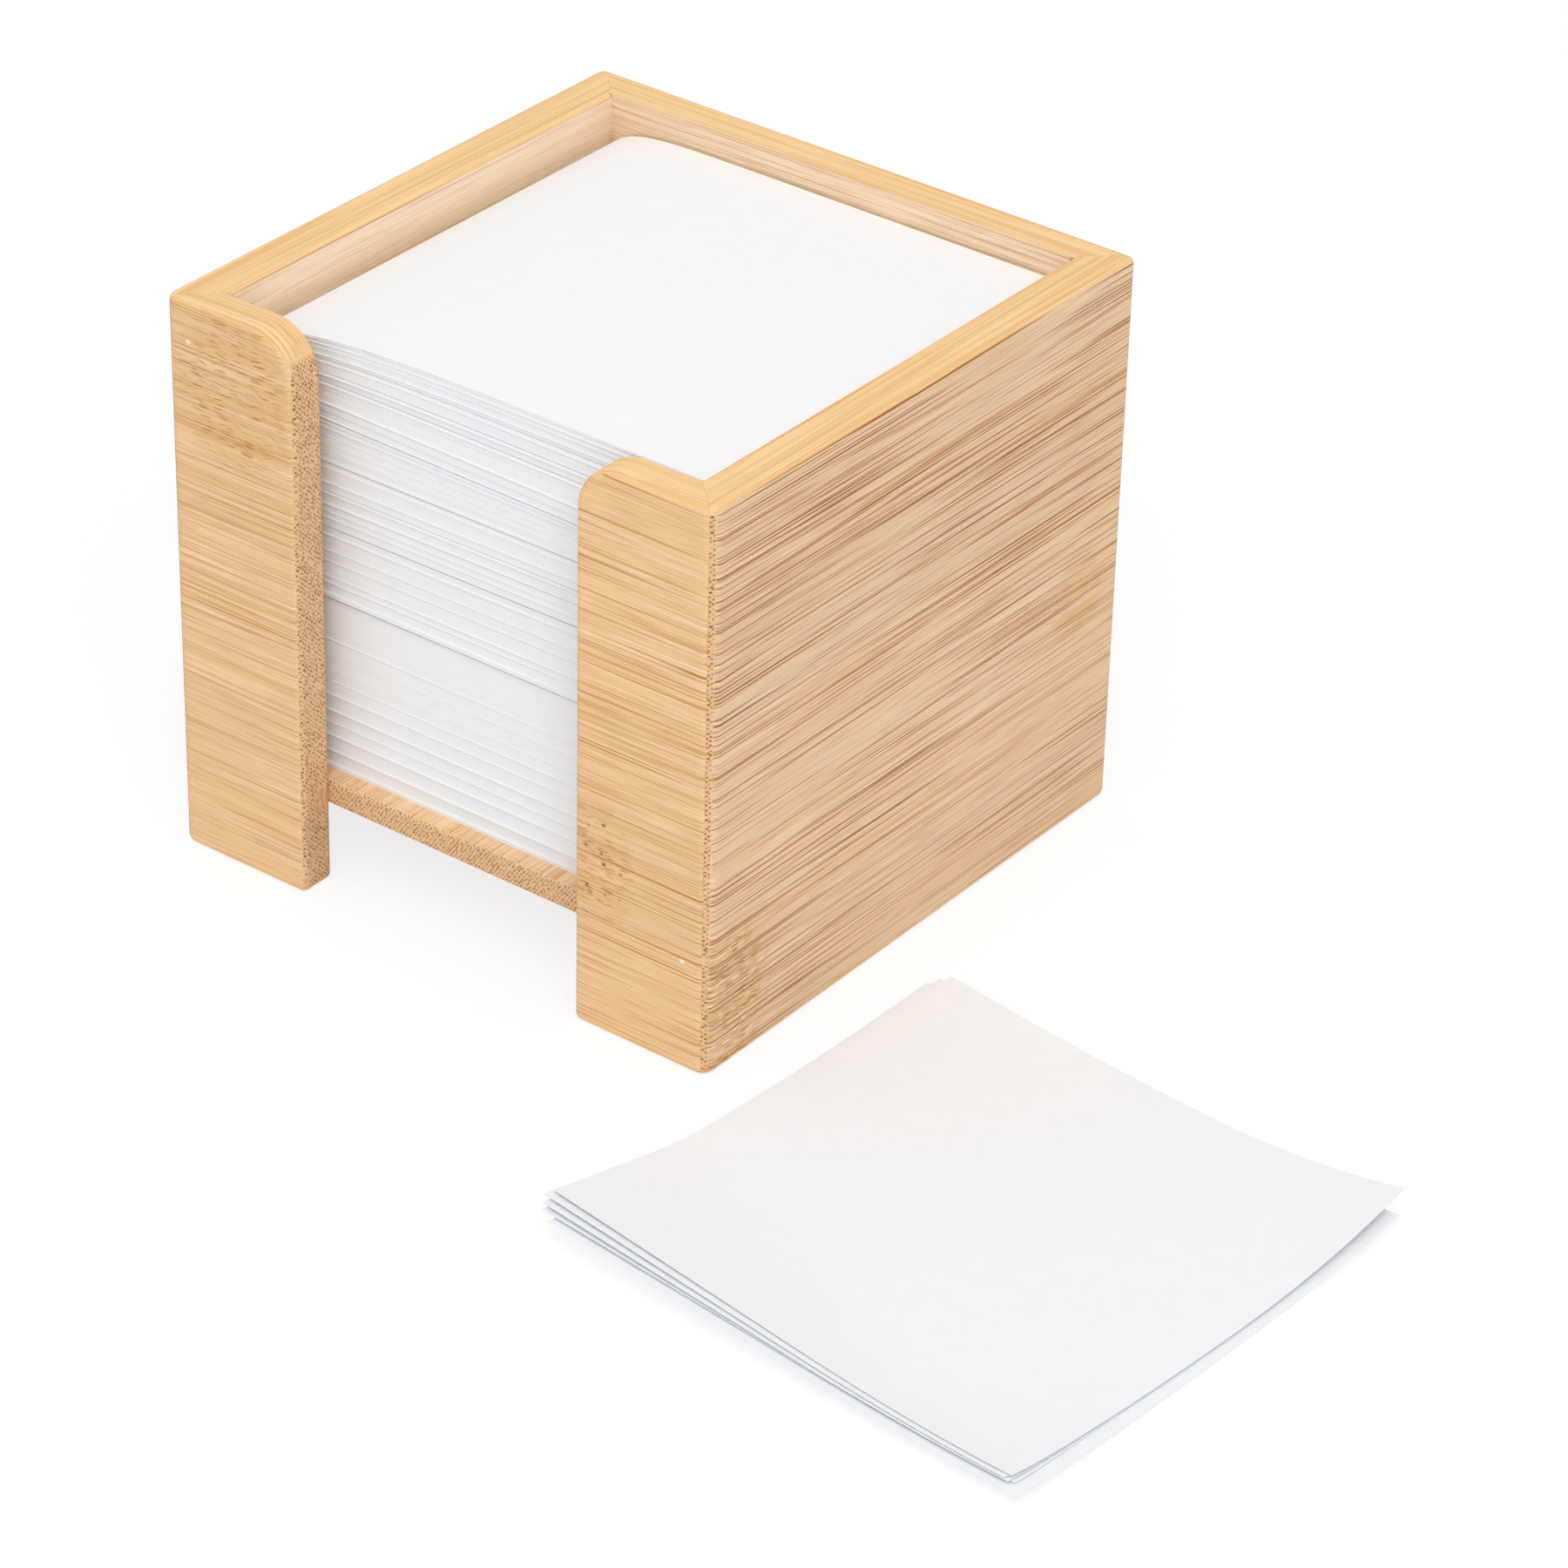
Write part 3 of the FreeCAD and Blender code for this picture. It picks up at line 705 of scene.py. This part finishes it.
class MEMO_OT_loose_sheets(bpy.types.Operator):
    """Lay the curled sheets beside the holder"""

    bl_idname = "memo.loose_sheets"
    bl_label = "Loose sheets"

    def execute(self, context):
        looks = context.scene.memo_paper
        # the loose sheets' white is painted darker and cooler, as painted shade and against the
        # bamboo's warm bounce light
        paper = writing_paper("Writing_paper_loose", looks.loose_white_against_bounce)
        side, thickness = looks.sheet_side / MM, looks.sheet_thickness / MM
        # centre, turn in degrees, height, and lift of the left, right, near and far corner
        pile = (
            (105.0, -58.0, -3.9, 0.00, 3.9, 2.7, 1.3, 0.9),
            (102.5, -56.4, -3.1, 0.15, 4.3, 3.0, 1.45, 1.0),
            (102.6, -56.5, -4.0, 0.30, 4.8, 3.6, 1.6, 1.1),
            (102.5, -55.9, -4.7, 0.45, 5.3, 4.3, 1.7, 1.15),
            (103.5, -55.0, -5.1, 0.60, 5.8, 5.1, 1.85, 1.25),
        )
        kept = list(enumerate(pile, 1))[-looks.loose_count:]
        top_x, top_y, top_turn = pile[-1][:3]
        unturn = Matrix.Rotation(math.radians(-top_turn), 2)
        # the left corner folds up along a line from the near corner to the far left edge
        fold_end, bend = 27.0, 2.5
        fold_long = math.hypot(side, fold_end)
        fold_reach = side * fold_end / fold_long

        def fold(distance):
            # level up to the fold, a soft bend of a few millimetres, then straight
            return bend * math.log1p(math.exp(distance / bend))

        def curl(from_side, from_end, reach, power):
            # 1 at a corner, and 0 beyond reach on the edges that meet there
            return max(0.0, 1 - (max(from_side, 0.0) + max(from_end, 0.0)) / reach) ** power

        for number, (x0, y0, turn, height, left, right, near, far) in kept:
            turned = Matrix.Rotation(math.radians(turn), 2)
            bm = bmesh.new()
            for v in add_sheet(bm, 40, 40):
                u, w, face = v.co
                flat = turned @ Vector(((u - 0.5) * side, (w - 0.5) * side))
                x, y = x0 + flat.x, y0 + flat.y
                local = unturn @ Vector((x - top_x, y - top_y))
                across, up = local.x / side + 0.5, local.y / side + 0.5
                # distance beyond the fold line, towards the left corner
                beyond = ((1 - across) * side * fold_end - up * side * side) / fold_long
                lift = left * fold(beyond) / fold(fold_reach)
                lift += right * curl(1 - across, 1 - up, reach=0.5, power=2.3)
                lift += near * curl(1 - across, up, reach=0.45, power=2.0)
                lift += far * curl(across, 1 - up, reach=0.4, power=2.0)
                v.co = (x, y, height + lift + thickness * face)
            name = "loose_sheet_%d" % number
            made = finish_mesh(bm, "Curled_" + name, paper, name, smooth=True)
            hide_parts(name)
        return {"FINISHED"}


class MEMO_OT_studio(bpy.types.Operator):
    """Set up the floor, the lamps, the sky and the camera"""

    bl_idname = "memo.studio"
    bl_label = "Studio"

    def execute(self, context):
        looks = context.scene.memo_studio
        self.add_floor(context, looks)
        self.add_sky(context, looks)
        self.add_lamp(context, "Key_lamp", (1.0, -1.15, 1.6), 1.3, looks.key_power)
        self.add_lamp(context, "Top_lamp", (0.1, -0.3, 2.0), 1.5, looks.top_power)
        self.add_camera(context)
        context.scene.view_settings.view_transform = "Standard"
        return {"FINISHED"}

    def seen_directly(self, tree):
        """1 for what the camera sees, itself or in gloss or glass, and 0 for light on things."""
        path = add_node(tree, "LightPath").outputs
        seen = add_node(tree, "Math", {0: path["Is Camera Ray"], 1: path["Is Glossy Ray"]},
                        operation="MAXIMUM").outputs[0]
        return add_node(tree, "Math", {0: seen, 1: path["Is Transmission Ray"]},
                        operation="MAXIMUM").outputs[0]

    def add_floor(self, context, looks):
        made, tree = new_material("Studio_paper_sweep")
        lit = add_node(tree, "BsdfDiffuse", {"Color": looks.floor}).outputs[0]
        # most of what is seen is its own white, so the holder's shadow stays but is faint
        half = add_node(tree, "BsdfDiffuse", {"Color": (0.22, 0.22, 0.22, 1.0)}).outputs[0]
        glow = add_node(tree, "Emission", {"Color": (1, 1, 1, 1), "Strength": 0.8}).outputs[0]
        shown = add_node(tree, "AddShader", {0: half, 1: glow}).outputs[0]
        mixed = add_node(tree, "MixShader", {0: self.seen_directly(tree), 1: lit, 2: shown})
        add_node(tree, "OutputMaterial", {"Surface": mixed.outputs[0]})
        bm = bmesh.new()
        bmesh.ops.create_grid(bm, x_segments=1, y_segments=1, size=4.0)
        bmesh.ops.translate(bm, verts=bm.verts, vec=(0, 0, -0.1 * MM))
        mesh = bpy.data.meshes.new("Floor")
        bm.to_mesh(mesh)
        bm.free()
        mesh.materials.append(made)
        floor = bpy.data.objects.new("Floor", mesh)
        context.scene.collection.objects.link(floor)

    def add_sky(self, context, looks):
        sky = bpy.data.worlds.new("Studio_sky")
        sky.use_nodes = True
        tree = sky.node_tree
        tree.nodes.clear()
        strength = add_node(tree, "MapRange", {
            "Value": self.seen_directly(tree), "To Min": looks.sky_strength, "To Max": 1.0})
        glow = add_node(tree, "Background", {
            "Color": srgb("#ffffff"), "Strength": strength.outputs[0]})
        add_node(tree, "OutputWorld", {"Surface": glow.outputs[0]})
        context.scene.world = sky

    def add_lamp(self, context, name, place, size, power):
        lamp = bpy.data.lights.new(name, "AREA")
        lamp.shape = "DISK"
        lamp.size = size
        lamp.energy = power
        made = bpy.data.objects.new(name, lamp)
        aimed = (LAMP_AIM - Vector(place)).to_track_quat("-Z", "Y").to_matrix().to_4x4()
        made.matrix_world = Matrix.Translation(place) @ aimed
        context.scene.collection.objects.link(made)

    def add_camera(self, context):
        azimuth, elevation, roll = (math.radians(angle) for angle in (
            CAMERA_AZIMUTH, CAMERA_ELEVATION, CAMERA_ROLL))
        back = Vector((math.sin(azimuth) * math.cos(elevation),
                       -math.cos(azimuth) * math.cos(elevation), math.sin(elevation)))
        right = Vector((math.cos(azimuth), math.sin(azimuth), 0.0))
        up = back.cross(right)
        rolled_right = right * math.cos(roll) + up * math.sin(roll)
        rolled_up = up * math.cos(roll) - right * math.sin(roll)
        data = bpy.data.cameras.new("Camera")
        data.sensor_width = 36.0
        data.lens = CAMERA_LENS
        data.clip_start = 0.05
        made = bpy.data.objects.new("Camera", data)
        turned = Matrix((rolled_right, rolled_up, back)).transposed().to_4x4()
        made.matrix_world = Matrix.Translation(CAMERA_PLACE) @ turned
        context.scene.collection.objects.link(made)
        context.scene.camera = made


class MEMO_PT_panel(bpy.types.Panel):
    """The steps that dress the holder, in order"""

    bl_idname = "MEMO_PT_panel"
    bl_label = "Memo cube holder"
    bl_space_type = "VIEW_3D"
    bl_region_type = "UI"
    bl_category = "Memo Holder"

    def draw(self, context):
        for operator in OPERATORS:
            self.layout.operator(operator.bl_idname)
        for group in (context.scene.memo_bamboo, context.scene.memo_paper,
                      context.scene.memo_studio):
            for key in group.__annotations__:
                self.layout.prop(group, key)


GROUPS = {"memo_bamboo": MEMO_PG_bamboo, "memo_paper": MEMO_PG_paper,
          "memo_studio": MEMO_PG_studio}
OPERATORS = (MEMO_OT_bamboo_boards, MEMO_OT_groove_fillers, MEMO_OT_stack, MEMO_OT_top_sheet,
             MEMO_OT_loose_sheets, MEMO_OT_studio)


def register():
    for group in GROUPS.values():
        bpy.utils.register_class(group)
    for key, group in GROUPS.items():
        setattr(bpy.types.Scene, key, PointerProperty(type=group))
    for operator in OPERATORS:
        bpy.utils.register_class(operator)
    bpy.utils.register_class(MEMO_PT_panel)


def unregister():
    bpy.utils.unregister_class(MEMO_PT_panel)
    for operator in reversed(OPERATORS):
        bpy.utils.unregister_class(operator)
    for key, group in GROUPS.items():
        delattr(bpy.types.Scene, key)
        bpy.utils.unregister_class(group)


def main():
    register()
    bpy.ops.memo.bamboo_boards()
    bpy.ops.memo.groove_fillers()
    bpy.ops.memo.stack()
    bpy.ops.memo.top_sheet()
    bpy.ops.memo.loose_sheets()
    bpy.ops.memo.studio()


if __name__ == "__main__":
    main()
